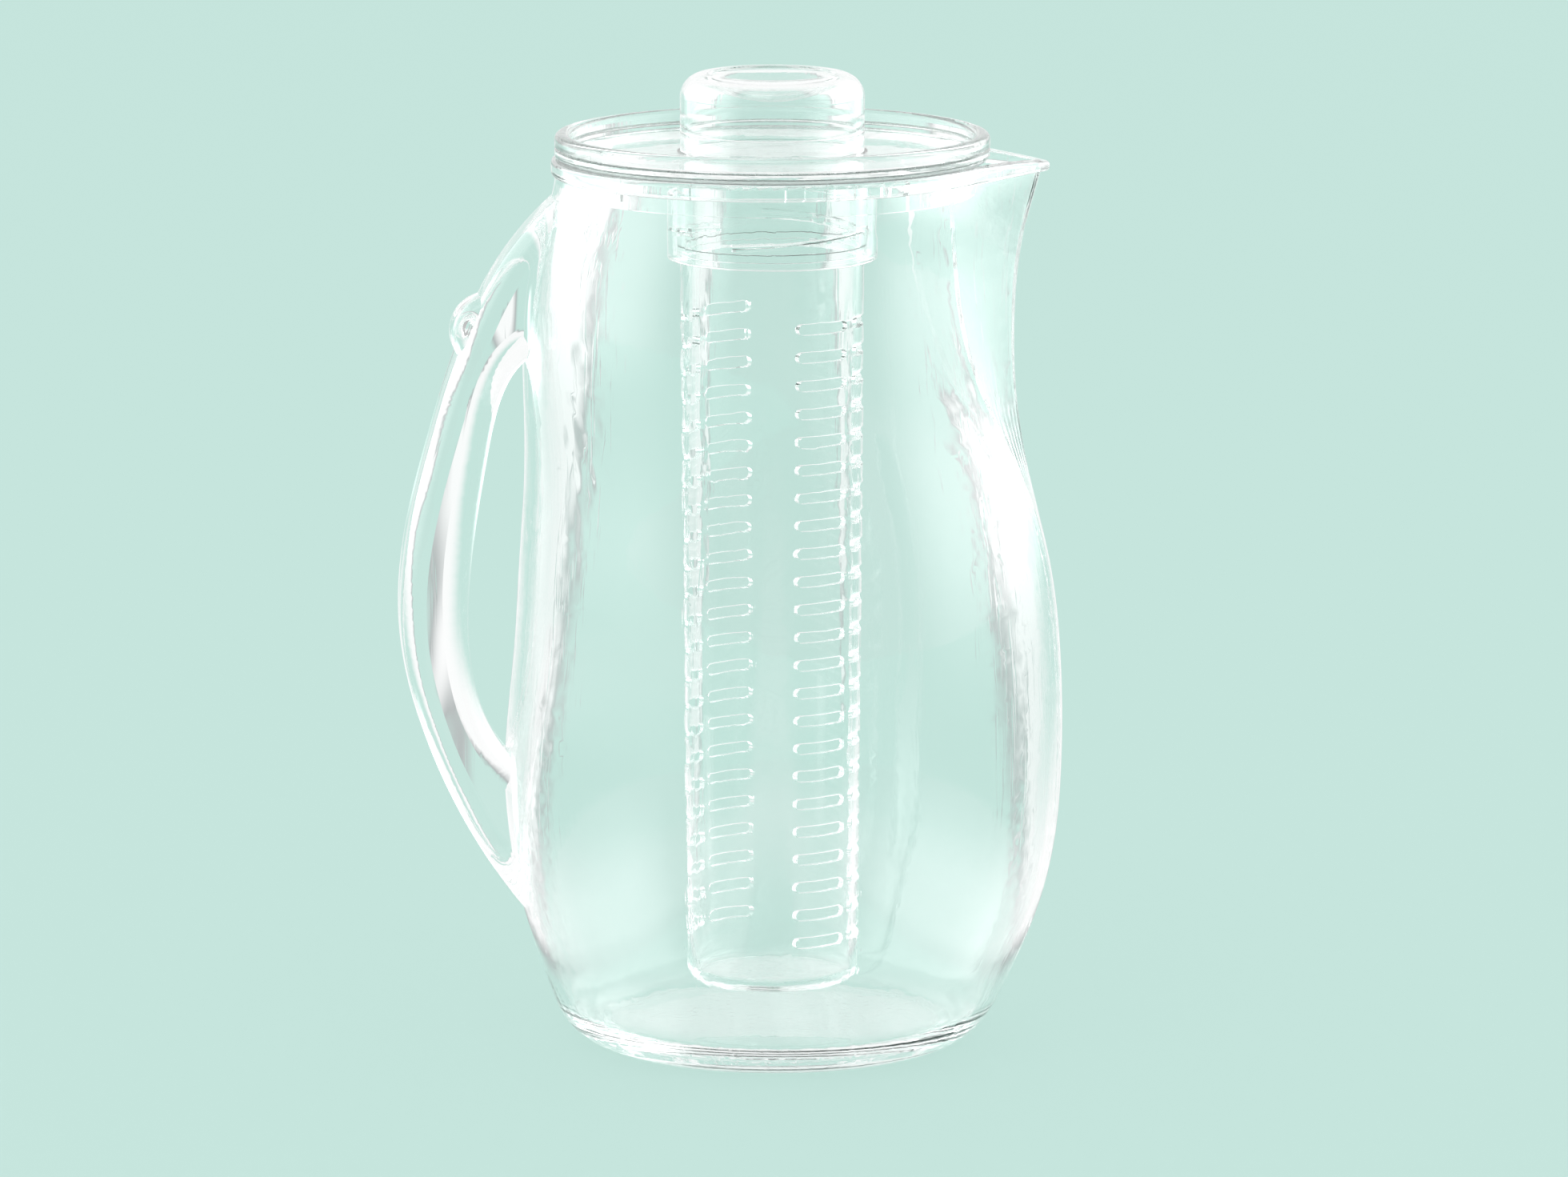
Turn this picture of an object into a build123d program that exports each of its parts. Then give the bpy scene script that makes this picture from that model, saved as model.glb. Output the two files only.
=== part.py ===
from build123d import *
import os
from math import acos, atan2, cos, hypot, pi, radians, sin

# A clear acrylic infuser pitcher: a jug with a handle, a turning lid and a slotted tube hung under the lid.
# Millimetres. The jug stands on z = 0 with its axis on Z, the spout towards +X and the handle towards -X.

# Jug
RIM_HEIGHT = 242.5
BELLY_HEIGHT = 76.0
NECK_RADIUS = 58.4
BELLY_SPOUT_REACH = 78.8
BELLY_HANDLE_REACH = 73.0
BASE_RADIUS = 52.5
BASE_ROUNDING = 18.0
BASE_ROUNDING_HEIGHT = 11.0
JUG_WALL = 2.8
FLOOR_THICKNESS = 6.0
FLOOR_ROUNDING = 14.0
FLOOR_ROUNDING_HEIGHT = 8.0
RIM_BAND_PROUD = 1.3
RIM_BAND_HEIGHT = 4.5
RIM_BAND_ROUNDING = 1.2

# Spout
SPOUT_REACH = 15.8
SPOUT_DROP = 2.0
SPOUT_NOSE_RADIUS = 3.6
SPOUT_HALF_ANGLE = 40.0
BELLY_SEAM_SHARE = 0.35
BELLY_SEAM_NOSE_ANGLE = 3.0

# Handle
HANDLE_STANDOFF = 28.6
HANDLE_TOP_DROP = 9.5
HANDLE_BOTTOM = 44.5
HANDLE_DEPTH = 18.6
HANDLE_WIDTH = 23.0
HANDLE_ROUNDING = 6.6
FINGER_GAP_TOP_DROP = 52.5
FINGER_GAP_BOTTOM = 81.0
THUMB_REST_ALONG = 0.215
THUMB_REST_RADIUS = 10.5
THUMB_REST_PROUD = 3.8
THUMB_REST_WIDTH = 17.0
THUMB_REST_ROUNDING = 4.0
BOND_LINE = 0.1

# Lid
SEAL_THICKNESS = 1.0
SEAL_WIDTH = 4.0
SEAL_INSET = 0.8
FLANGE_OVERHANG = 0.3
FLANGE_HEIGHT = 6.0
FLANGE_RIM_WIDTH = 4.2
FLANGE_ROUNDING = 1.8
FLANGE_GROOVE_DEPTH = 0.6
FLANGE_GROOVE_HEIGHT = 1.0
FLANGE_GROOVE_RISE = 2.1
PLATE_RECESS = 4.8
PLATE_THICKNESS = 2.5
SKIRT_CLEARANCE = 2.0
SKIRT_WALL = 2.0
SKIRT_DROP = 9.3
WINDOW_HEIGHT = 2.8
WINDOW_DROP = 1.3
STRAIN_WINDOW_COUNT = 4
STRAIN_WINDOW_WIDTH = 6.2
STRAIN_WINDOW_PITCH = 8.6
STRAIN_WINDOW_ANGLE = -71.2
POUR_WINDOW_WIDTH = 27.0
POUR_WINDOW_ANGLE = -106.5
STOP_TAB_ANGLE = -144.0
STOP_TAB_WIDTH = 2.2
STOP_TAB_HEIGHT = 1.9
STOP_TAB_RISE = 2.2
STOP_TAB_PROUD = 0.9

# Knob
KNOB_RADIUS = 24.9
KNOB_HEIGHT = 15.7
KNOB_WALL = 2.0
KNOB_ROUNDING = 6.5
KNOB_DISH_RADIUS = 17.0
KNOB_DISH_DEPTH = 5.5
KNOB_CREST_ROUNDING = 1.5
PEDESTAL_HEIGHT = 5.0

# Infuser
TUBE_TOP_RADIUS = 24.9
TUBE_BOTTOM_RADIUS = 23.4
TUBE_WALL = 1.8
TUBE_FLOOR = 2.2
TUBE_BOTTOM_ROUNDING = 4.0
TUBE_FLOOR_GAP = 11.0
TUBE_FLANGE_STEP = 0.8
TUBE_FLANGE_THICKNESS = 2.0
SLOT_HEIGHT = 3.0
SLOT_WIDTH = 15.6
SLOT_PITCH = 7.63
SLOT_BOTTOM_MARGIN = 14.0
SLOT_TOP_MARGIN = 18.0
SLOT_GROUP_ANGLE = -37.5
SLOT_COLUMN_ANGLE = 24.0
COLLAR_DROP = 27.2
COLLAR_HEIGHT = 20.0
COLLAR_WALL = 1.4
COLLAR_LIP = 2.0
COLLAR_ROUNDING = 0.6
BOSS_WALL = 1.8
RUNNING_CLEARANCE = 0.3
THREAD_DEPTH = 0.9
THREAD_LEAD = 12.0
THREAD_STARTS = 3
THREAD_SPAN = 90.0
THREAD_THICKNESS = 1.2
THREAD_STEPS = 9
THREAD_ROOT = 0.4

# Heights and radii that follow from the sizes above
HANDLE_REACH = BELLY_HANDLE_REACH + HANDLE_STANDOFF
HANDLE_TOP = RIM_HEIGHT - HANDLE_TOP_DROP
FINGER_GAP_TOP = RIM_HEIGHT - FINGER_GAP_TOP_DROP
FLANGE_RADIUS = NECK_RADIUS + FLANGE_OVERHANG
FLANGE_BOTTOM = RIM_HEIGHT + SEAL_THICKNESS
FLANGE_TOP = FLANGE_BOTTOM + FLANGE_HEIGHT
PLATE_TOP = FLANGE_TOP - PLATE_RECESS
PLATE_BOTTOM = PLATE_TOP - PLATE_THICKNESS
PEDESTAL_TOP = PLATE_TOP + PEDESTAL_HEIGHT
KNOB_BOTTOM = PEDESTAL_TOP + BOND_LINE
NECK_BORE = NECK_RADIUS - JUG_WALL
SKIRT_RADIUS = NECK_BORE - SKIRT_CLEARANCE
SKIRT_BOTTOM = RIM_HEIGHT - SKIRT_DROP
SEAL_RADIUS = FLANGE_RADIUS - SEAL_INSET
COLLAR_BOTTOM = RIM_HEIGHT - COLLAR_DROP
TUBE_BOTTOM = FLOOR_THICKNESS + TUBE_FLOOR_GAP
TUBE_FLANGE_RADIUS = TUBE_TOP_RADIUS + TUBE_FLANGE_STEP
TUBE_FLANGE_BOTTOM = COLLAR_BOTTOM + COLLAR_LIP
TUBE_TOP = TUBE_FLANGE_BOTTOM + TUBE_FLANGE_THICKNESS
SLOT_BAND = TUBE_FLANGE_BOTTOM - TUBE_BOTTOM - SLOT_BOTTOM_MARGIN - SLOT_TOP_MARGIN
SLOT_ROWS = int(SLOT_BAND / SLOT_PITCH) + 1
LIP_RADIUS = TUBE_TOP_RADIUS + RUNNING_CLEARANCE
COLLAR_CREST = TUBE_FLANGE_RADIUS + RUNNING_CLEARANCE
COLLAR_BORE = COLLAR_CREST + THREAD_DEPTH
COLLAR_RADIUS = COLLAR_BORE + COLLAR_WALL
BOSS_CREST = COLLAR_BORE - RUNNING_CLEARANCE
BOSS_RADIUS = BOSS_CREST - THREAD_DEPTH
BOSS_THREAD_HEIGHT = TUBE_TOP + THREAD_THICKNESS
COLLAR_THREAD_HEIGHT = BOSS_THREAD_HEIGHT + THREAD_THICKNESS + RUNNING_CLEARANCE

# The lower body swells from base to belly along a sine, whose start this power makes a little steeper
LOWER_BODY_POWER = 0.83
LOWER_BODY_RISES = [0.23, 0.40, 0.70, 1.0]
ROUNDING_ANGLES = [15, 40, 66]

# The jug between belly and rim: share of the height, share of the belly still there on the spout side
# and on the handle side, share of the spout's reach and share of the spout's half angle
UPPER_BODY = [
    (0.19, 0.98, 0.82, 0.0, BELLY_SEAM_SHARE),
    (0.34, 0.83, 0.71, 0.0, BELLY_SEAM_SHARE),
    (0.48, 0.55, 0.61, 0.03, 0.45),
    (0.62, 0.28, 0.62, 0.15, 0.78),
    (0.77, 0.11, 0.58, 0.36, 0.97),
    (0.87, 0.04, 0.34, 0.58, 1.0),
    (1.0, 0.0, 0.0, 1.0, 1.0),
]

# The handle's back from neck to belly: share of the reach past the neck, share of the way down
HANDLE_BACK = [
    (-0.07, -0.016),
    (0.43, 0.117),
    (0.78, 0.324),
    (1.0, 0.607),
    (0.74, 0.840),
    (0.23, 1.032),
]

# The edge round the finger gap from belly to neck: share of its reach past the neck, share of the way up
FINGER_GAP_EDGE = [
    (0.53, -0.009),
    (0.84, 0.106),
    (1.0, 0.417),
    (0.79, 0.752),
    (0.37, 0.991),
    (-0.12, 1.028),
]


def ring(outer, inner, bottom, top):
    """A plain ring about the axis."""
    return Pos(0, 0, bottom) * extrude(Circle(outer) - Circle(inner), top - bottom)


def disc(radius, bottom, top):
    """A plain round slab about the axis."""
    return Pos(0, 0, bottom) * extrude(Circle(radius), top - bottom)


def edges_at(solid, radius, height):
    """The round edges of a solid about the axis with this radius, at this height."""
    round_edges = solid.edges().filter_by(GeomType.CIRCLE)
    return round_edges.filter_by(
        lambda edge: abs(edge.radius - radius) < 0.01 and abs(edge.arc_center.Z - height) < 0.01
    )


def tangent_point(outside, centre, radius):
    """Where the line from a point touches a circle on the X axis, on the side of the point."""
    away = hypot(outside[0] - centre, outside[1])
    heading = atan2(outside[1], outside[0] - centre)
    turn = acos(radius / away)
    side = 1 if outside[1] > 0 else -1
    angle = heading - side * turn
    return centre + radius * cos(angle), radius * sin(angle)


def jug_outline(height, spout_reach, handle_reach, prow, angle_share, grow):
    """One level outline of the jug: a circle that runs through two flat flanks into the spout's nose."""
    half_angle = angle_share * SPOUT_HALF_ANGLE
    centre = (spout_reach - handle_reach) / 2
    radius = (spout_reach + handle_reach) / 2 + grow

    def on_circle(angle):
        return centre + radius * cos(radians(angle)), radius * sin(radians(angle))

    right = on_circle(-half_angle)
    left = on_circle(half_angle)
    back = Edge.make_three_point_arc((*left, height), (*on_circle(180), height), (*right, height))
    if prow > 0:
        nose_radius = SPOUT_NOSE_RADIUS + grow
        nose_centre = spout_reach + prow - SPOUT_NOSE_RADIUS
        nose_right = tangent_point(right, nose_centre, nose_radius)
        nose_left = tangent_point(left, nose_centre, nose_radius)
        tip = (nose_centre + nose_radius, 0)
        flanks = [
            Edge.make_line((*right, height), (*nose_right, height)),
            Edge.make_line((*nose_left, height), (*left, height)),
        ]
    else:
        nose_right = on_circle(-BELLY_SEAM_NOSE_ANGLE)
        nose_left = on_circle(BELLY_SEAM_NOSE_ANGLE)
        tip = on_circle(0)
        middle = (half_angle + BELLY_SEAM_NOSE_ANGLE) / 2
        flanks = [
            Edge.make_three_point_arc((*right, height), (*on_circle(-middle), height), (*nose_right, height)),
            Edge.make_three_point_arc((*nose_left, height), (*on_circle(middle), height), (*left, height)),
        ]
    nose = Edge.make_three_point_arc((*nose_right, height), (*tip, height), (*nose_left, height))
    return Face(Wire([back, flanks[0], nose, flanks[1]]))


def lower_reach(height, belly_reach):
    """How far out the lower body is at a height, on the side with this reach at the belly."""
    fullness = sin(pi / 2 * (height / BELLY_HEIGHT) ** LOWER_BODY_POWER)
    return BASE_RADIUS + fullness * (belly_reach - BASE_RADIUS)


def jug_outlines(grow, bottom, rounding, rounding_height):
    """Every level outline of the jug from a rounded underside up to the rim, moved outwards by grow."""
    angles = [radians(angle) for angle in ROUNDING_ANGLES]
    wall_start = bottom + rounding_height * (cos(angles[0]) - cos(angles[-1]))
    levels = []
    for angle in angles:
        level = bottom + rounding_height * (cos(angles[0]) - cos(angle))
        levels.append((level, wall_start, rounding * (sin(angles[-1]) - sin(angle))))
    levels += [(rise * BELLY_HEIGHT, rise * BELLY_HEIGHT, 0.0) for rise in LOWER_BODY_RISES]
    outlines = []
    for level, wall_level, inset in levels:
        spout_side = lower_reach(wall_level, BELLY_SPOUT_REACH) - inset
        handle_side = lower_reach(wall_level, BELLY_HANDLE_REACH) - inset
        outlines.append(jug_outline(level, spout_side, handle_side, 0.0, BELLY_SEAM_SHARE, grow))
    for rise, spout_share, handle_share, prow_share, angle_share in UPPER_BODY:
        spout_side = NECK_RADIUS + spout_share * (BELLY_SPOUT_REACH - NECK_RADIUS)
        handle_side = NECK_RADIUS + handle_share * (BELLY_HANDLE_REACH - NECK_RADIUS)
        level = BELLY_HEIGHT + rise * (RIM_HEIGHT - BELLY_HEIGHT)
        prow = prow_share * SPOUT_REACH
        outlines.append(jug_outline(level, spout_side, handle_side, prow, angle_share, grow))
    return outlines


def rim_outline(grow):
    """The jug's outline at the rim, moved outwards by grow."""
    return jug_outline(RIM_HEIGHT, NECK_RADIUS, NECK_RADIUS, SPOUT_REACH, 1.0, grow)


def jug_mass(grow):
    """The jug as a full solid, moved outwards by grow."""
    return loft(jug_outlines(grow, 0.0, BASE_ROUNDING, BASE_ROUNDING_HEIGHT))


def jug_hollow():
    """The space inside the jug, from its floor to above its rim."""
    outlines = jug_outlines(-JUG_WALL, FLOOR_THICKNESS, FLOOR_ROUNDING, FLOOR_ROUNDING_HEIGHT)
    return loft(outlines) + extrude(rim_outline(-JUG_WALL), RIM_BAND_HEIGHT)


def above_spout():
    """The air over the spout, whose lip falls in a gentle curve towards its tip."""
    start = (NECK_RADIUS + RIM_BAND_PROUD) * cos(radians(SPOUT_HALF_ANGLE))
    tip = NECK_RADIUS + SPOUT_REACH + RIM_BAND_PROUD
    clear_top = RIM_HEIGHT + RIM_BAND_HEIGHT
    lip_start = (start, 0, RIM_HEIGHT)
    lip_end = (tip, 0, RIM_HEIGHT - SPOUT_DROP)
    lip = Edge.make_tangent_arc(lip_start, (1, 0, 0), lip_end)
    rest = Polyline(lip_end, (tip, 0, clear_top), (start, 0, clear_top), lip_start)
    return extrude(Face(Wire([lip, *rest.edges()])), NECK_RADIUS, dir=(0, 1, 0), both=True)


def jug_body():
    """The jug's shell with its spout, thick floor and rim band."""
    air = above_spout()
    band = extrude(rim_outline(RIM_BAND_PROUD), RIM_BAND_HEIGHT, dir=(0, 0, -1)) - air
    round_edges = band.edges().filter_by(Axis.Z, reverse=True).filter_by(Axis.Y, reverse=True)
    band = fillet(round_edges, RIM_BAND_ROUNDING)
    return jug_mass(0.0) - air + band - jug_hollow()


def handle_back():
    """The line along the back of the hand, from the neck to the lower belly."""
    reach = HANDLE_REACH - NECK_RADIUS
    height = HANDLE_TOP - HANDLE_BOTTOM
    points = [(-NECK_RADIUS - out * reach, 0, HANDLE_TOP - down * height) for out, down in HANDLE_BACK]
    return Spline(points)


def finger_gap_edge():
    """The line round the finger gap, from the lower belly to the neck."""
    reach = HANDLE_REACH - HANDLE_DEPTH - NECK_RADIUS
    height = FINGER_GAP_TOP - FINGER_GAP_BOTTOM
    points = [(-NECK_RADIUS - out * reach, 0, FINGER_GAP_BOTTOM + up * height) for out, up in FINGER_GAP_EDGE]
    return Spline(points)


def thumb_rest(outer_edge):
    """The rounded pad on the handle's back, just under the neck."""
    spot = outer_edge @ THUMB_REST_ALONG
    along = outer_edge % THUMB_REST_ALONG
    inwards = Vector(-along.Z, 0, along.X)
    centre = spot + inwards * (THUMB_REST_RADIUS - THUMB_REST_PROUD)
    pad = Cylinder(THUMB_REST_RADIUS, THUMB_REST_WIDTH)
    pad = fillet(pad.edges().filter_by(GeomType.CIRCLE), THUMB_REST_ROUNDING)
    return Pos(centre.X, centre.Y, centre.Z) * Rot(X=90) * pad


def handle():
    """The solid grip with its thumb rest, cut to seat on the jug's wall."""
    outer_edge = handle_back()
    inner_edge = finger_gap_edge()
    outline = Wire([
        outer_edge,
        Edge.make_line(outer_edge @ 1, inner_edge @ 0),
        inner_edge,
        Edge.make_line(inner_edge @ 1, outer_edge @ 0),
    ])
    bar = extrude(Face(outline), HANDLE_WIDTH / 2, dir=(0, 1, 0), both=True)
    long_edges = bar.edges().filter_by(GeomType.BSPLINE)
    bar = fillet(long_edges, HANDLE_ROUNDING)
    return bar + thumb_rest(outer_edge) - jug_mass(BOND_LINE)


def lid_seal():
    """The flat clear washer between the lid's flange and the jug's rim."""
    return ring(SEAL_RADIUS, SEAL_RADIUS - SEAL_WIDTH, RIM_HEIGHT, FLANGE_BOTTOM)


def window(angle, width):
    """A cutter for one opening in the lid's skirt, width in degrees."""
    chord = 2 * SKIRT_RADIUS * sin(radians(width / 2))
    box = Box(6 * SKIRT_WALL, chord, WINDOW_HEIGHT, align=(Align.CENTER, Align.CENTER, Align.MAX))
    return Rot(Z=angle) * Pos(SKIRT_RADIUS - SKIRT_WALL / 2, 0, RIM_HEIGHT - WINDOW_DROP) * box


def skirt_windows():
    """The cutters for the row of straining windows and the one wide pouring window."""
    first = STRAIN_WINDOW_ANGLE - STRAIN_WINDOW_PITCH * (STRAIN_WINDOW_COUNT - 1) / 2
    cutters = [window(POUR_WINDOW_ANGLE, POUR_WINDOW_WIDTH)]
    for index in range(STRAIN_WINDOW_COUNT):
        cutters.append(window(first + index * STRAIN_WINDOW_PITCH, STRAIN_WINDOW_WIDTH))
    return cutters


def stop_tab():
    """The small square tab on the skirt, felt as the lid is turned."""
    tab = Box(SKIRT_WALL + STOP_TAB_PROUD, STOP_TAB_WIDTH, STOP_TAB_HEIGHT,
              align=(Align.MAX, Align.CENTER, Align.MIN))
    return Rot(Z=STOP_TAB_ANGLE) * Pos(SKIRT_RADIUS + STOP_TAB_PROUD, 0, SKIRT_BOTTOM + STOP_TAB_RISE) * tab


def flange_groove():
    """The cutter for the shallow line round the flange's side."""
    height = FLANGE_BOTTOM + FLANGE_GROOVE_RISE
    half = FLANGE_GROOVE_HEIGHT / 2
    outside = FLANGE_RADIUS + FLANGE_GROOVE_DEPTH
    outline = Polyline(
        (outside, 0, height - 2 * half),
        (FLANGE_RADIUS - FLANGE_GROOVE_DEPTH, 0, height),
        (outside, 0, height + 2 * half),
        close=True,
    )
    return revolve(make_face(outline), Axis.Z)


def thread_ridges(root_radius, crest_radius, height):
    """The helical ridges of one side of the infuser's screw."""
    half_root = THREAD_THICKNESS / 2
    half_crest = THREAD_THICKNESS / 4
    ridges = []
    for start in range(THREAD_STARTS):
        sections = []
        for step in range(THREAD_STEPS):
            turn = THREAD_SPAN * step / (THREAD_STEPS - 1)
            level = height + THREAD_LEAD * turn / 360
            angle = radians(turn + 360 * start / THREAD_STARTS)
            corners = [
                (root_radius, level - half_root),
                (crest_radius, level - half_crest),
                (crest_radius, level + half_crest),
                (root_radius, level + half_root),
            ]
            points = [(radius * cos(angle), radius * sin(angle), z) for radius, z in corners]
            sections.append(Face(Wire.make_polygon(points, close=True)))
        ridges.append(loft(sections, ruled=True))
    return ridges


def lid_plate():
    """The lid: raised rim, sunk plate, windowed skirt, knob pedestal and threaded boss."""
    rim_bore = FLANGE_RADIUS - FLANGE_RIM_WIDTH
    rim = ring(FLANGE_RADIUS, rim_bore, FLANGE_BOTTOM, FLANGE_TOP)
    top_edges = edges_at(rim, FLANGE_RADIUS, FLANGE_TOP) + edges_at(rim, rim_bore, FLANGE_TOP)
    rim = fillet(top_edges, FLANGE_ROUNDING) - flange_groove()
    web = disc(FLANGE_RADIUS - FLANGE_RIM_WIDTH / 2, FLANGE_BOTTOM, PLATE_TOP)
    plate = disc(SKIRT_RADIUS, PLATE_BOTTOM, PLATE_TOP)
    skirt = ring(SKIRT_RADIUS, SKIRT_RADIUS - SKIRT_WALL, SKIRT_BOTTOM, PLATE_TOP)
    pedestal = ring(KNOB_RADIUS, KNOB_RADIUS - KNOB_WALL, PLATE_BOTTOM, PEDESTAL_TOP)
    boss = ring(BOSS_RADIUS, BOSS_RADIUS - BOSS_WALL, TUBE_TOP, PLATE_TOP)
    lid = rim + web + plate + skirt + pedestal + boss + stop_tab()
    lid = lid + thread_ridges(BOSS_RADIUS - THREAD_ROOT, BOSS_CREST, BOSS_THREAD_HEIGHT)
    return lid - skirt_windows()


def lid_knob():
    """The hollow round knob with its dished top."""
    top = KNOB_BOTTOM + KNOB_HEIGHT
    dish_sphere = (KNOB_DISH_RADIUS**2 + KNOB_DISH_DEPTH**2) / (2 * KNOB_DISH_DEPTH)
    dish_centre = Pos(0, 0, top - KNOB_DISH_DEPTH + dish_sphere)
    outer = disc(KNOB_RADIUS, KNOB_BOTTOM, top)
    outer = fillet(edges_at(outer, KNOB_RADIUS, top), KNOB_ROUNDING)
    outer = outer - dish_centre * Sphere(dish_sphere)
    outer = fillet(edges_at(outer, KNOB_DISH_RADIUS, top), KNOB_CREST_ROUNDING)
    bore = KNOB_RADIUS - KNOB_WALL
    hollow = disc(bore, KNOB_BOTTOM, top - KNOB_WALL)
    hollow = fillet(edges_at(hollow, bore, top - KNOB_WALL), KNOB_ROUNDING - KNOB_WALL)
    return outer - (hollow - dish_centre * Sphere(dish_sphere + KNOB_WALL))


def infuser_collar():
    """The screw ring that holds the tube's flange up against the lid's boss."""
    top = COLLAR_BOTTOM + COLLAR_HEIGHT
    wall = ring(COLLAR_RADIUS, COLLAR_BORE, COLLAR_BOTTOM, top)
    lip = ring(COLLAR_BORE + COLLAR_WALL / 2, LIP_RADIUS, COLLAR_BOTTOM, TUBE_FLANGE_BOTTOM)
    collar = wall + lip
    outside = edges_at(collar, COLLAR_RADIUS, COLLAR_BOTTOM) + edges_at(collar, COLLAR_RADIUS, top)
    collar = fillet(outside, COLLAR_ROUNDING)
    return collar + thread_ridges(COLLAR_BORE + THREAD_ROOT, COLLAR_CREST, COLLAR_THREAD_HEIGHT)


def slot_cutters():
    """The cutters for the tube's slots: two facing groups of two columns."""
    slot = extrude(Plane.YZ * SlotOverall(SLOT_WIDTH, SLOT_HEIGHT), 2 * TUBE_TOP_RADIUS)
    cutters = []
    for group in (0, 180):
        for column in (-SLOT_COLUMN_ANGLE, SLOT_COLUMN_ANGLE):
            turn = Rot(Z=SLOT_GROUP_ANGLE + group + column)
            for row in range(SLOT_ROWS):
                level = TUBE_BOTTOM + SLOT_BOTTOM_MARGIN + row * SLOT_PITCH
                cutters.append(turn * Pos(0, 0, level) * slot)
    return cutters


def infuser_tube():
    """The slotted tapered tube with its closed bottom and the flange that the collar holds."""
    length = TUBE_FLANGE_BOTTOM - TUBE_BOTTOM
    upright = (Align.CENTER, Align.CENTER, Align.MIN)
    outer = Pos(0, 0, TUBE_BOTTOM) * Cone(TUBE_BOTTOM_RADIUS, TUBE_TOP_RADIUS, length, align=upright)
    outer = fillet(edges_at(outer, TUBE_BOTTOM_RADIUS, TUBE_BOTTOM), TUBE_BOTTOM_ROUNDING)
    outer = outer + disc(TUBE_FLANGE_RADIUS, TUBE_FLANGE_BOTTOM, TUBE_TOP)
    bore_bottom = TUBE_BOTTOM + TUBE_FLOOR
    bottom_bore = TUBE_BOTTOM_RADIUS - TUBE_WALL
    top_bore = TUBE_TOP_RADIUS - TUBE_WALL
    bore = Pos(0, 0, bore_bottom) * Cone(bottom_bore, top_bore, TUBE_TOP - bore_bottom, align=upright)
    bore = fillet(edges_at(bore, bottom_bore, bore_bottom), TUBE_BOTTOM_ROUNDING - TUBE_WALL)
    return outer - bore - slot_cutters()


PIECES = {
    "jug_body": jug_body,
    "handle": handle,
    "lid_seal": lid_seal,
    "lid_plate": lid_plate,
    "lid_knob": lid_knob,
    "infuser_collar": infuser_collar,
    "infuser_tube": infuser_tube,
}

os.makedirs("parts", exist_ok=True)
for name, make in PIECES.items():
    export_step(make(), f"parts/{name}.step")
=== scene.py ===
import logging
import math
from dataclasses import dataclass
from enum import Enum

import bpy
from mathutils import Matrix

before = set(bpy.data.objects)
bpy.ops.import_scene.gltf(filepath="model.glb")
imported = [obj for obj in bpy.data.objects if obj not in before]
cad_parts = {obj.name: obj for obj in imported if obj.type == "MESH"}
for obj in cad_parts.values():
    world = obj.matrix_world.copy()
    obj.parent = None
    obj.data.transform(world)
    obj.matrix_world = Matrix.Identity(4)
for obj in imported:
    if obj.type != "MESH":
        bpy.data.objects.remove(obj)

LOG = logging.getLogger("pitcher")
PHOTO_WIDTH = 1960
MIDDLE = 0.5
Colour = tuple[float, float, float, float]
Point = tuple[float, float, float]
Span = tuple[float, float]


class Body(Enum):
    """The rigid bodies of the pitcher, by the names they have in the record."""

    JUG = "jug"
    SEAL = "seal"
    LID = "lid"
    INFUSER = "infuser"
    COLLAR = "collar"


class Ray(Enum):
    """The kinds of light ray that a shader can tell apart."""

    STRAIGHT = "Is Camera Ray"
    MIRRORED = "Is Glossy Ray"
    REFRACTED = "Is Transmission Ray"
    SHADOW = "Is Shadow Ray"


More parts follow.
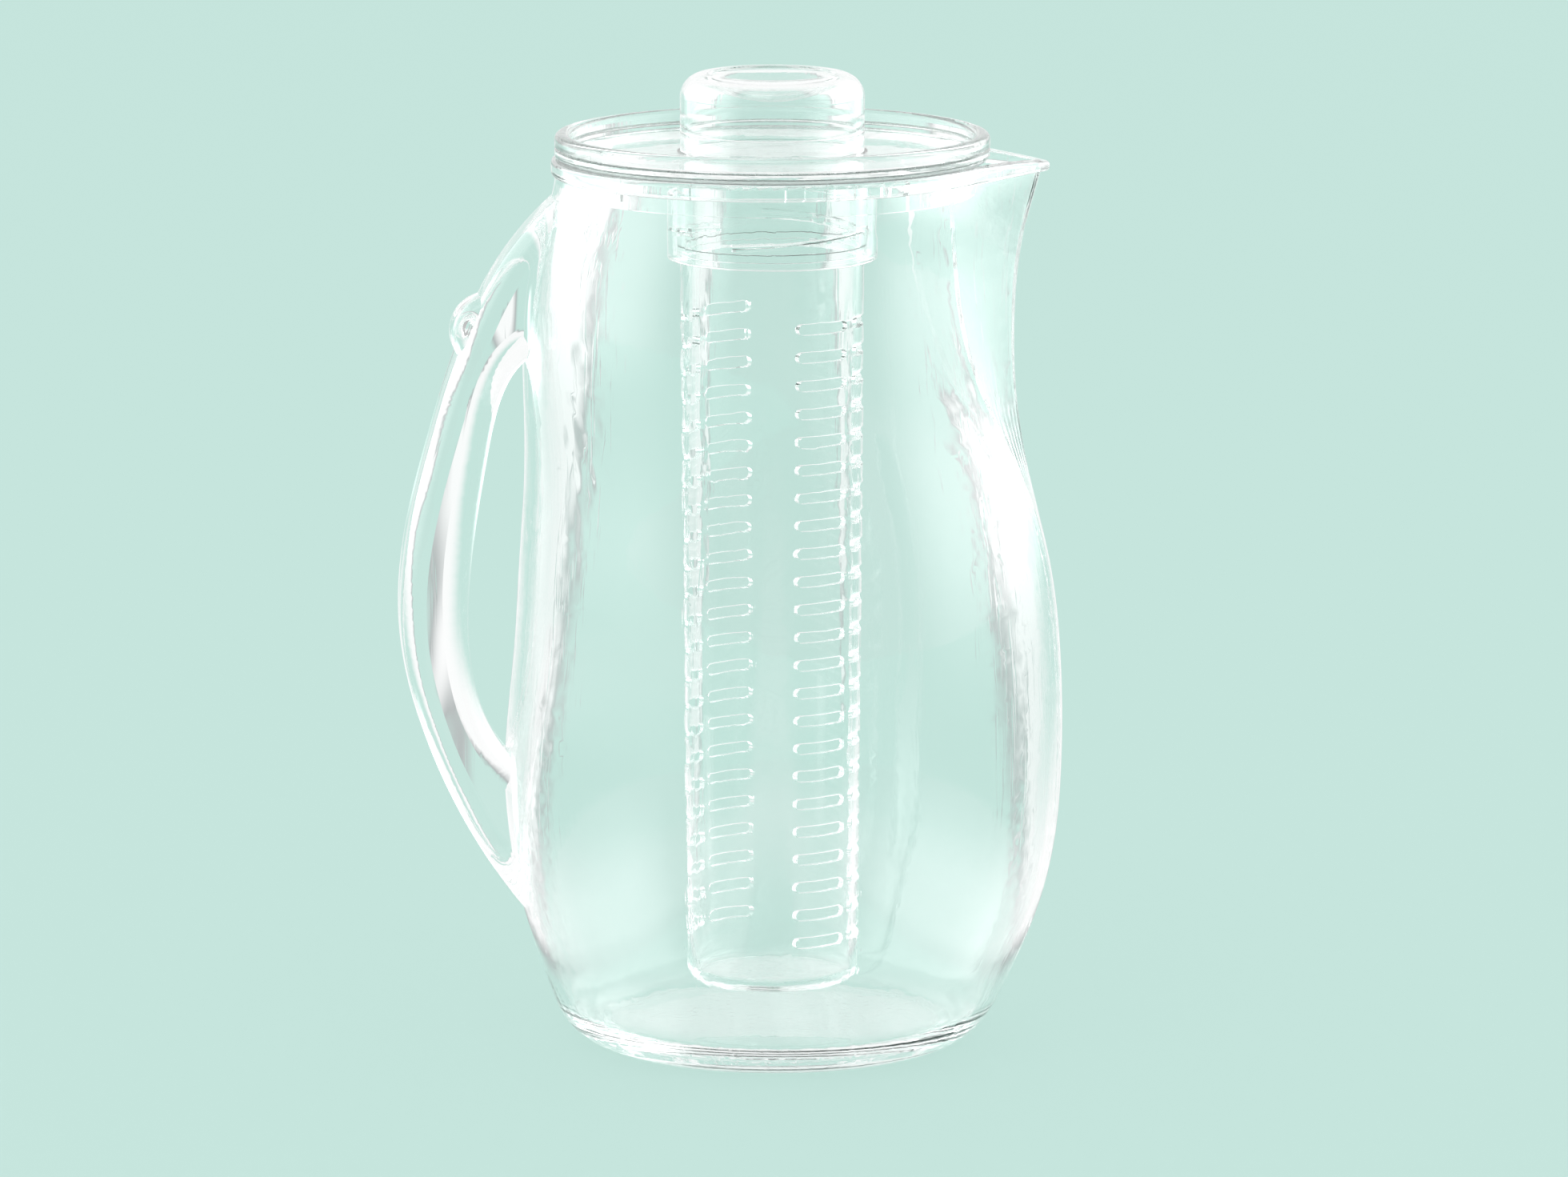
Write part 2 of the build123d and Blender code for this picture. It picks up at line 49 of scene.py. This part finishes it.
class Nodes:
    """A node tree, with short ways to add and join nodes."""

    def __init__(self, tree: bpy.types.NodeTree) -> None:
        """Empties a material's, lamp's or world's node tree and starts on it."""
        self.tree = tree
        self.tree.nodes.clear()

    def add(self, kind: str, **values: object) -> bpy.types.Node:
        """Adds one node.

        Args:
            kind: the node's Blender type.
            values: properties of the node, set by name.

        Returns:
            The new node.
        """
        node = self.tree.nodes.new(kind)
        for name, value in values.items():
            setattr(node, name, value)
        return node

    def join(self, source: bpy.types.NodeSocket, target: bpy.types.NodeSocket) -> None:
        """Links two sockets."""
        self.tree.links.new(source, target)

    def place(self, stretch: Point = (1.0, 1.0, 1.0), turn: float = 0.0,
              kind: str = "Object") -> bpy.types.NodeSocket:
        """Gives coordinates: a piece's own in metres, or a direction in the world.

        Args:
            stretch: how much finer a pattern is along X, Y and Z.
            turn: how far the coordinates are turned about Z, in degrees.
            kind: the name of Blender's coordinates.

        Returns:
            The vector socket to read.
        """
        coordinates = self.add("ShaderNodeTexCoord")
        mapping = self.add("ShaderNodeMapping")
        mapping.inputs["Scale"].default_value = stretch
        mapping.inputs["Rotation"].default_value[2] = math.radians(turn)
        self.join(coordinates.outputs[kind], mapping.inputs["Vector"])
        return mapping.outputs["Vector"]

    def parts(self, vector: bpy.types.NodeSocket) -> bpy.types.NodeOutputs:
        """Splits a vector into its X, Y and Z."""
        split = self.add("ShaderNodeSeparateXYZ")
        self.join(vector, split.inputs["Vector"])
        return split.outputs

    def sum(self, operation: str, first: bpy.types.NodeSocket,
            second: bpy.types.NodeSocket | float) -> bpy.types.NodeSocket:
        """Works out one sum.

        Args:
            operation: the name of Blender's math operation.
            first: the first value.
            second: the second value, a socket or a number.

        Returns:
            The result's socket.
        """
        node = self.add("ShaderNodeMath", operation=operation)
        self.join(first, node.inputs[0])
        if isinstance(second, float):
            node.inputs[1].default_value = second
        else:
            self.join(second, node.inputs[1])
        return node.outputs["Value"]

    def noise(self, vector: bpy.types.NodeSocket, scale: float,
              detail: float) -> bpy.types.NodeSocket:
        """Adds a noise pattern.

        Args:
            vector: the coordinates it reads.
            scale: how many cells there are in a metre.
            detail: how many finer layers it has.

        Returns:
            The noise's value socket.
        """
        pattern = self.add("ShaderNodeTexNoise")
        pattern.inputs["Scale"].default_value = scale
        pattern.inputs["Detail"].default_value = detail
        self.join(vector, pattern.inputs["Vector"])
        return pattern.outputs["Fac"]

    def spread(self, value: bpy.types.NodeSocket, low: float, high: float,
               start: float = 0.3, end: float = 0.7, curve: str = "LINEAR") -> bpy.types.NodeSocket:
        """Maps a value onto a range.

        Args:
            value: the value to map.
            low: the result at start.
            high: the result at end.
            start: the value that gives low.
            end: the value that gives high.
            curve: Blender's name for the way between.

        Returns:
            The mapped value socket.
        """
        ramp = self.add("ShaderNodeMapRange", interpolation_type=curve)
        ramp.inputs["From Min"].default_value = start
        ramp.inputs["From Max"].default_value = end
        ramp.inputs["To Min"].default_value = low
        ramp.inputs["To Max"].default_value = high
        self.join(value, ramp.inputs["Value"])
        return ramp.outputs["Result"]

    def blend(self, share: bpy.types.NodeSocket, first: Colour | bpy.types.NodeSocket,
              second: Colour | bpy.types.NodeSocket) -> bpy.types.NodeSocket:
        """Blends two colours, each a socket or a fixed colour.

        Args:
            share: how much of the second colour shows.
            first: the colour where share is 0.
            second: the colour where share is 1.

        Returns:
            The colour socket.
        """
        mix = self.add("ShaderNodeMixRGB")
        self.join(share, mix.inputs["Fac"])
        for name, colour in (("Color1", first), ("Color2", second)):
            if isinstance(colour, tuple):
                mix.inputs[name].default_value = colour
            else:
                self.join(colour, mix.inputs[name])
        return mix.outputs["Color"]

    def bump(self, height: bpy.types.NodeSocket, depth: float,
             below: bpy.types.NodeSocket | None = None) -> bpy.types.NodeSocket:
        """Adds relief to a surface.

        Args:
            height: the relief's pattern.
            depth: how deep it is, in metres.
            below: the relief that it lies on.

        Returns:
            The normal socket.
        """
        relief = self.add("ShaderNodeBump")
        relief.inputs["Distance"].default_value = depth
        self.join(height, relief.inputs["Height"])
        if below is not None:
            self.join(below, relief.inputs["Normal"])
        return relief.outputs["Normal"]

    def either(self, share: bpy.types.NodeSocket, first: bpy.types.NodeSocket,
               second: bpy.types.NodeSocket) -> bpy.types.NodeSocket:
        """Mixes two shaders.

        Args:
            share: how much of the second shader shows.
            first: the shader where share is 0.
            second: the shader where share is 1.

        Returns:
            The mixed shader's socket.
        """
        mix = self.add("ShaderNodeMixShader")
        self.join(share, mix.inputs["Fac"])
        self.join(first, mix.inputs[1])
        self.join(second, mix.inputs[2])
        return mix.outputs["Shader"]

    def on(self, *kinds: Ray) -> bpy.types.NodeSocket:
        """Gives a value that is 1 on rays of these kinds."""
        path = self.add("ShaderNodeLightPath")
        seen = path.outputs[kinds[0].value]
        for kind in kinds[1:]:
            seen = self.sum("MAXIMUM", seen, path.outputs[kind.value])
        return seen

    def show(self, shader: bpy.types.NodeSocket, output: str = "ShaderNodeOutputMaterial") -> None:
        """Makes a shader the surface of what the tree belongs to."""
        self.join(shader, self.add(output).inputs["Surface"])


def new_material(name: str) -> tuple[bpy.types.Material, Nodes]:
    """Starts a material.

    Args:
        name: the material's name.

    Returns:
        The material and its empty node tree.
    """
    material = bpy.data.materials.new(name)
    material.use_nodes = True
    return material, Nodes(material.node_tree)


@dataclass(frozen=True)
class ClearAcrylic:
    """Polished clear moulded acrylic: slow moulding waves, faint haze and hairline scratches."""

    name: str
    tint: Colour = (0.985, 0.995, 0.992, 1.0)
    shade: Colour = (0.93, 0.965, 0.955, 1.0)
    bending: float = 1.49
    clear_roughness: float = 0.004
    hazy_roughness: float = 0.045
    haze_scale: float = 26.0
    haze_detail: float = 4.0
    haze_span: Span = (0.52, 0.78)
    wave_scale: float = 30.0
    wave_detail: float = 1.0
    wave_depth: float = 0.0002
    wave_stretch: Point = (1.0, 1.0, 0.4)
    scratch_scale: float = 420.0
    scratch_detail: float = 2.0
    scratch_span: Span = (0.62, 0.72)
    scratch_depth: float = 0.000008
    scratch_stretch: Point = (1.0, 1.0, 0.06)

    def material(self) -> bpy.types.Material:
        """Builds the finish and gives its material."""
        material, nodes = new_material(self.name)
        haze = nodes.noise(nodes.place(), self.haze_scale, self.haze_detail)
        waves = nodes.noise(nodes.place(self.wave_stretch), self.wave_scale, self.wave_detail)
        along = nodes.place(self.scratch_stretch)
        scratches = nodes.noise(along, self.scratch_scale, self.scratch_detail)
        scratches = nodes.spread(scratches, 0.0, 1.0, *self.scratch_span)
        relief = nodes.bump(scratches, self.scratch_depth, nodes.bump(waves, self.wave_depth))
        acrylic = nodes.add("ShaderNodeBsdfPrincipled")
        acrylic.inputs["Base Color"].default_value = self.tint
        acrylic.inputs["Transmission Weight"].default_value = 1.0
        acrylic.inputs["IOR"].default_value = self.bending
        roughness = nodes.spread(haze, self.clear_roughness, self.hazy_roughness, *self.haze_span)
        nodes.join(roughness, acrylic.inputs["Roughness"])
        nodes.join(relief, acrylic.inputs["Normal"])
        lamp_light = nodes.add("ShaderNodeBsdfTransparent")
        lamp_light.inputs["Color"].default_value = self.shade
        passing = nodes.on(Ray.SHADOW)
        nodes.show(nodes.either(passing, acrylic.outputs["BSDF"], lamp_light.outputs["BSDF"]))
        return material


@dataclass(frozen=True)
class SoftSilicone:
    """Translucent silicone: milky, with a fine dull grain."""

    name: str
    tint: Colour = (0.93, 0.96, 0.95, 1.0)
    passing: float = 0.75
    bending: float = 1.41
    smooth: float = 0.25
    dull: float = 0.5
    grain_scale: float = 900.0
    grain_detail: float = 3.0
    grain_depth: float = 0.00002

    def material(self) -> bpy.types.Material:
        """Builds the finish and gives its material."""
        material, nodes = new_material(self.name)
        grain = nodes.noise(nodes.place(), self.grain_scale, self.grain_detail)
        silicone = nodes.add("ShaderNodeBsdfPrincipled")
        silicone.inputs["Base Color"].default_value = self.tint
        silicone.inputs["Transmission Weight"].default_value = self.passing
        silicone.inputs["IOR"].default_value = self.bending
        nodes.join(nodes.spread(grain, self.smooth, self.dull), silicone.inputs["Roughness"])
        nodes.join(nodes.bump(grain, self.grain_depth), silicone.inputs["Normal"])
        nodes.show(silicone.outputs["BSDF"])
        return material


@dataclass
class Piece:
    """A moulding that keeps its CAD shape and gets its finish here."""

    node: str
    body: Body
    finish: ClearAcrylic | SoftSilicone

    def dress(self) -> None:
        """Puts the finish on the moulding."""
        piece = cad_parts[self.node]
        piece.data.materials.clear()
        piece.data.materials.append(self.finish.material())
        LOG.info("%s on %s: %s", self.node, self.body.value, self.finish.name)


@dataclass
class Jug:
    """The moulded jug and its bonded handle."""

    wall: ClearAcrylic = ClearAcrylic("jug_acrylic", wave_scale=22.0, wave_depth=0.0002)
    grip: ClearAcrylic = ClearAcrylic("handle_acrylic", wave_scale=45.0, wave_depth=0.002)

    def dress(self) -> None:
        """Finishes the jug and the handle."""
        Piece("jug_body", Body.JUG, self.wall).dress()
        Piece("handle", Body.JUG, self.grip).dress()


@dataclass
class Lid:
    """The lid with its knob and its seal."""

    plate: ClearAcrylic = ClearAcrylic("lid_acrylic", wave_scale=60.0, wave_depth=0.0001)
    knob: ClearAcrylic = ClearAcrylic("knob_acrylic", wave_scale=60.0, wave_depth=0.0001)
    seal: SoftSilicone = SoftSilicone("seal_silicone")

    def dress(self) -> None:
        """Finishes the lid, the knob and the seal."""
        Piece("lid_plate", Body.LID, self.plate).dress()
        Piece("lid_knob", Body.LID, self.knob).dress()
        Piece("lid_seal", Body.SEAL, self.seal).dress()


@dataclass
class Infuser:
    """The slotted tube and the screw ring that holds it."""

    tube: ClearAcrylic = ClearAcrylic("tube_acrylic", wave_scale=70.0, wave_depth=0.0001)
    ring: ClearAcrylic = ClearAcrylic("collar_acrylic", wave_scale=80.0, wave_depth=0.00005)

    def dress(self) -> None:
        """Finishes the tube and the ring."""
        Piece("infuser_tube", Body.INFUSER, self.tube).dress()
        Piece("infuser_collar", Body.COLLAR, self.ring).dress()


@dataclass
class Lamp:
    """One soft box: a white rectangle whose light fades towards its edges."""

    name: str
    place: Point
    aim: Point
    width: float
    height: float
    radiance: float
    edge: float = 0.5
    lights_floor: bool = True

    def fade(self, nodes: Nodes) -> bpy.types.NodeSocket:
        """Adds the fall of light towards the edges.

        Args:
            nodes: the lamp's node tree.

        Returns:
            A value socket, 1 in the middle and 0 at the edges.
        """
        across = nodes.parts(nodes.add("ShaderNodeNewGeometry").outputs["Parametric"])
        falls = []
        for way in ("X", "Y"):
            off = nodes.sum("ABSOLUTE", nodes.sum("SUBTRACT", across[way], MIDDLE), 0.0)
            falls.append(nodes.spread(off, 1.0, 0.0, MIDDLE - self.edge / 2, MIDDLE, "SMOOTHSTEP"))
        return nodes.sum("MULTIPLY", falls[0], falls[1])

    def build(self) -> None:
        """Hangs the lamp and turns it to its aim."""
        light = bpy.data.lights.new(self.name, "AREA")
        light.shape = "RECTANGLE"
        light.size = self.width
        light.size_y = self.height
        light.energy = self.radiance * math.pi * self.width * self.height
        light.use_nodes = True
        nodes = Nodes(light.node_tree)
        glow = nodes.add("ShaderNodeEmission")
        nodes.join(self.fade(nodes), glow.inputs["Strength"])
        nodes.show(glow.outputs["Emission"], "ShaderNodeOutputLight")
        lamp = bpy.data.objects.new(self.name, light)
        bpy.context.scene.collection.objects.link(lamp)
        lamp.location = self.place
        towards = [aim - here for aim, here in zip(self.aim, self.place)]
        level = math.hypot(towards[0], towards[1])
        lamp.rotation_euler = (
            math.pi / 2 + math.atan2(towards[2], level),
            0.0,
            math.atan2(-towards[0], towards[1]),
        )
        lamp.visible_camera = False
        lamp.visible_diffuse = self.lights_floor
        LOG.info("lamp: %s", self.name)


@dataclass
class Studio:
    """The plain pale set: a mint floor and backdrop, white walls, a painted reflection on the
    floor, lamps and the camera.

    Only the clear plastic shows the walls and the painted reflection: white bands with grey inner
    edges, painted on the floor to give the plastic its white edges and grey outlines. A mint lane
    between the bands lies behind it.
    """

    mint: Colour = (0.565, 0.783, 0.723, 1.0)
    white: Colour = (1.0, 1.0, 1.0, 1.0)
    dim: Colour = (0.5, 0.5, 0.5, 1.0)
    dim_span: Span = (-0.9, -0.1)
    # Painted reflection bands on the floor: grey at their inner edge, then white.
    grey: Colour = (0.45, 0.48, 0.48, 1.0)
    grey_share: float = 0.3
    white_share: float = 0.9
    daylight: float = 0.97
    floor_width: float = 16.0
    floor_drop: float = 0.0003
    floor_glow: float = 0.82
    lane_slope: float = 0.032
    lane_edge: float = 1.5
    lane_front: float = -0.1
    reflection_edge: float = 1.9
    reflection_end: float = 4.2
    reflection_front: float = -0.35
    reflection_fade: float = 3.0
    clear_depth: int = 1024
    focal_pixels: float = 11024.95
    sensor: float = 36.0
    turn: float = -6.5
    tilt: float = 10.1
    distance: float = 2.36077
    height: float = 0.54503
    sideways: float = 0.00315

    def painted_reflections(self, nodes: Nodes) -> bpy.types.NodeSocket:
        """Adds the painted reflection on the floor, beside and in front of the pitcher: white bands
        that only reflected and refracted rays see, painted there to give the clear plastic white
        edges.

        Their inner edges are painted grey to give the plastic grey outlines, and their outer ones
        fade into the floor.

        Args:
            nodes: the floor's node tree.

        Returns:
            The colour socket of the floor with its painted reflection.
        """
        spot = nodes.parts(nodes.place(turn=-self.turn))
        half = nodes.sum("MULTIPLY", nodes.sum("ADD", spot["Y"], self.distance), self.lane_slope)
        beside = nodes.sum("DIVIDE", nodes.sum("ABSOLUTE", spot["X"], 0.0), half)
        side = nodes.spread(beside, 0.0, 1.0, 1.0, self.lane_edge, "SMOOTHSTEP")
        front = nodes.spread(spot["Y"], 1.0, 0.0, self.reflection_front, self.lane_front, "SMOOTHSTEP")
        outer = nodes.spread(beside, 1.0, 0.0, self.reflection_edge, self.reflection_end, "SMOOTHSTEP")
        fade_end = self.reflection_fade * self.reflection_front
        near = nodes.spread(spot["Y"], 0.0, 1.0, fade_end, self.reflection_front, "SMOOTHSTEP")
        # Painted grey outline band at the lane's edge, then the painted white band beyond it: a
        # painted reflection for the clear plastic.
        painted_outline_share = nodes.spread(side, 0.0, 1.0, 0.0, self.grey_share)
        painted_white_share = nodes.spread(side, 0.0, 1.0, self.grey_share, self.white_share)
        reflected_colour = nodes.blend(painted_outline_share, self.mint, self.grey)
        reflected_colour = nodes.blend(painted_white_share, reflected_colour, self.white)
        reflected_colour = nodes.blend(front, reflected_colour, self.white)
        return nodes.blend(nodes.sum("MULTIPLY", outer, near), self.mint, reflected_colour)

    def floor(self) -> None:
        """Lays the floor, just under the pitcher."""
        bpy.ops.object.select_all(action="DESELECT")
        place = (0.0, 0.0, -self.floor_drop)
        bpy.ops.mesh.primitive_plane_add(size=self.floor_width, location=place)
        floor = bpy.context.active_object
        floor.name = "studio_floor"
        material, nodes = new_material("studio_floor")
        # Reflected and refracted rays see the painted reflection bands; camera rays see the plain
        # mint floor.
        colour = nodes.blend(nodes.on(Ray.MIRRORED, Ray.REFRACTED), self.mint, self.painted_reflections(nodes))
        matte = nodes.add("ShaderNodeBsdfDiffuse")
        nodes.join(colour, matte.inputs["Color"])
        glow = nodes.add("ShaderNodeEmission")
        nodes.join(colour, glow.inputs["Color"])
        seen = nodes.on(Ray.STRAIGHT, Ray.MIRRORED, Ray.REFRACTED)
        share = nodes.sum("MULTIPLY", seen, self.floor_glow)
        nodes.show(nodes.either(share, matte.outputs["BSDF"], glow.outputs["Emission"]))
        floor.data.materials.append(material)

    def world(self) -> None:
        """Sets the mint backdrop, the white walls, dim on the camera's side, and the daylight."""
        world = bpy.data.worlds.new("studio")
        world.use_nodes = True
        bpy.context.scene.world = world
        nodes = Nodes(world.node_tree)
        ahead = nodes.parts(nodes.place(turn=-self.turn, kind="Generated"))["Y"]
        light = nodes.add("ShaderNodeBackground")
        light.inputs["Color"].default_value = self.white
        light.inputs["Strength"].default_value = self.daylight
        walls = nodes.add("ShaderNodeBackground")
        walls.inputs["Strength"].default_value = 1.0
        shown = nodes.spread(ahead, 0.0, 1.0, *self.dim_span, "SMOOTHSTEP")
        bent = nodes.blend(shown, self.dim, self.white)
        nodes.join(nodes.blend(nodes.on(Ray.STRAIGHT), bent, self.mint), walls.inputs["Color"])
        seen = nodes.on(Ray.STRAIGHT, Ray.MIRRORED, Ray.REFRACTED)
        both = nodes.either(seen, light.outputs["Background"], walls.outputs["Background"])
        nodes.show(both, "ShaderNodeOutputWorld")

    def lamps(self) -> None:
        """Hangs the lamps: one overhead and a long one along each side."""
        place, aim = (-0.5, -0.9, 1.7), (0.0, 0.0, 0.13)
        Lamp("lamp_over", place, aim, width=1.2, height=1.0, radiance=1.5).build()
        for name, beside in (("lamp_left", -0.66), ("lamp_right", 0.66)):
            place, aim = (beside, 0.35, 0.55), (0.0, 0.35, 0.55)
            Lamp(name, place, aim, width=2.0, height=1.1, radiance=1.8, lights_floor=False).build()

    def camera(self) -> None:
        """Sets up the camera where the photograph was taken from."""
        data = bpy.data.cameras.new("camera")
        data.sensor_fit = "HORIZONTAL"
        data.sensor_width = self.sensor
        data.lens = self.focal_pixels * self.sensor / PHOTO_WIDTH
        camera = bpy.data.objects.new("camera", data)
        bpy.context.scene.collection.objects.link(camera)
        angle = math.radians(self.turn)
        camera.location = (
            self.distance * math.sin(angle) + self.sideways * math.cos(angle),
            -self.distance * math.cos(angle) + self.sideways * math.sin(angle),
            self.height,
        )
        camera.rotation_euler = (math.radians(90.0 - self.tilt), 0.0, angle)
        bpy.context.scene.camera = camera

    def build(self) -> None:
        """Builds the set and picks the plain view transform."""
        scene = bpy.context.scene
        scene.view_settings.view_transform = "Standard"
        scene.cycles.max_bounces = self.clear_depth
        scene.cycles.glossy_bounces = self.clear_depth
        scene.cycles.transmission_bounces = self.clear_depth
        scene.cycles.transparent_max_bounces = self.clear_depth
        self.floor()
        self.world()
        self.lamps()
        self.camera()


def main() -> None:
    """Builds the pitcher's sub-assemblies and the studio in order."""
    logging.basicConfig(level=logging.INFO, format="%(message)s")
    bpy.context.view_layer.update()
    bpy.ops.object.select_all(action="DESELECT")
    Jug().dress()
    Lid().dress()
    Infuser().dress()
    Studio().build()


if __name__ == "__main__":
    main()
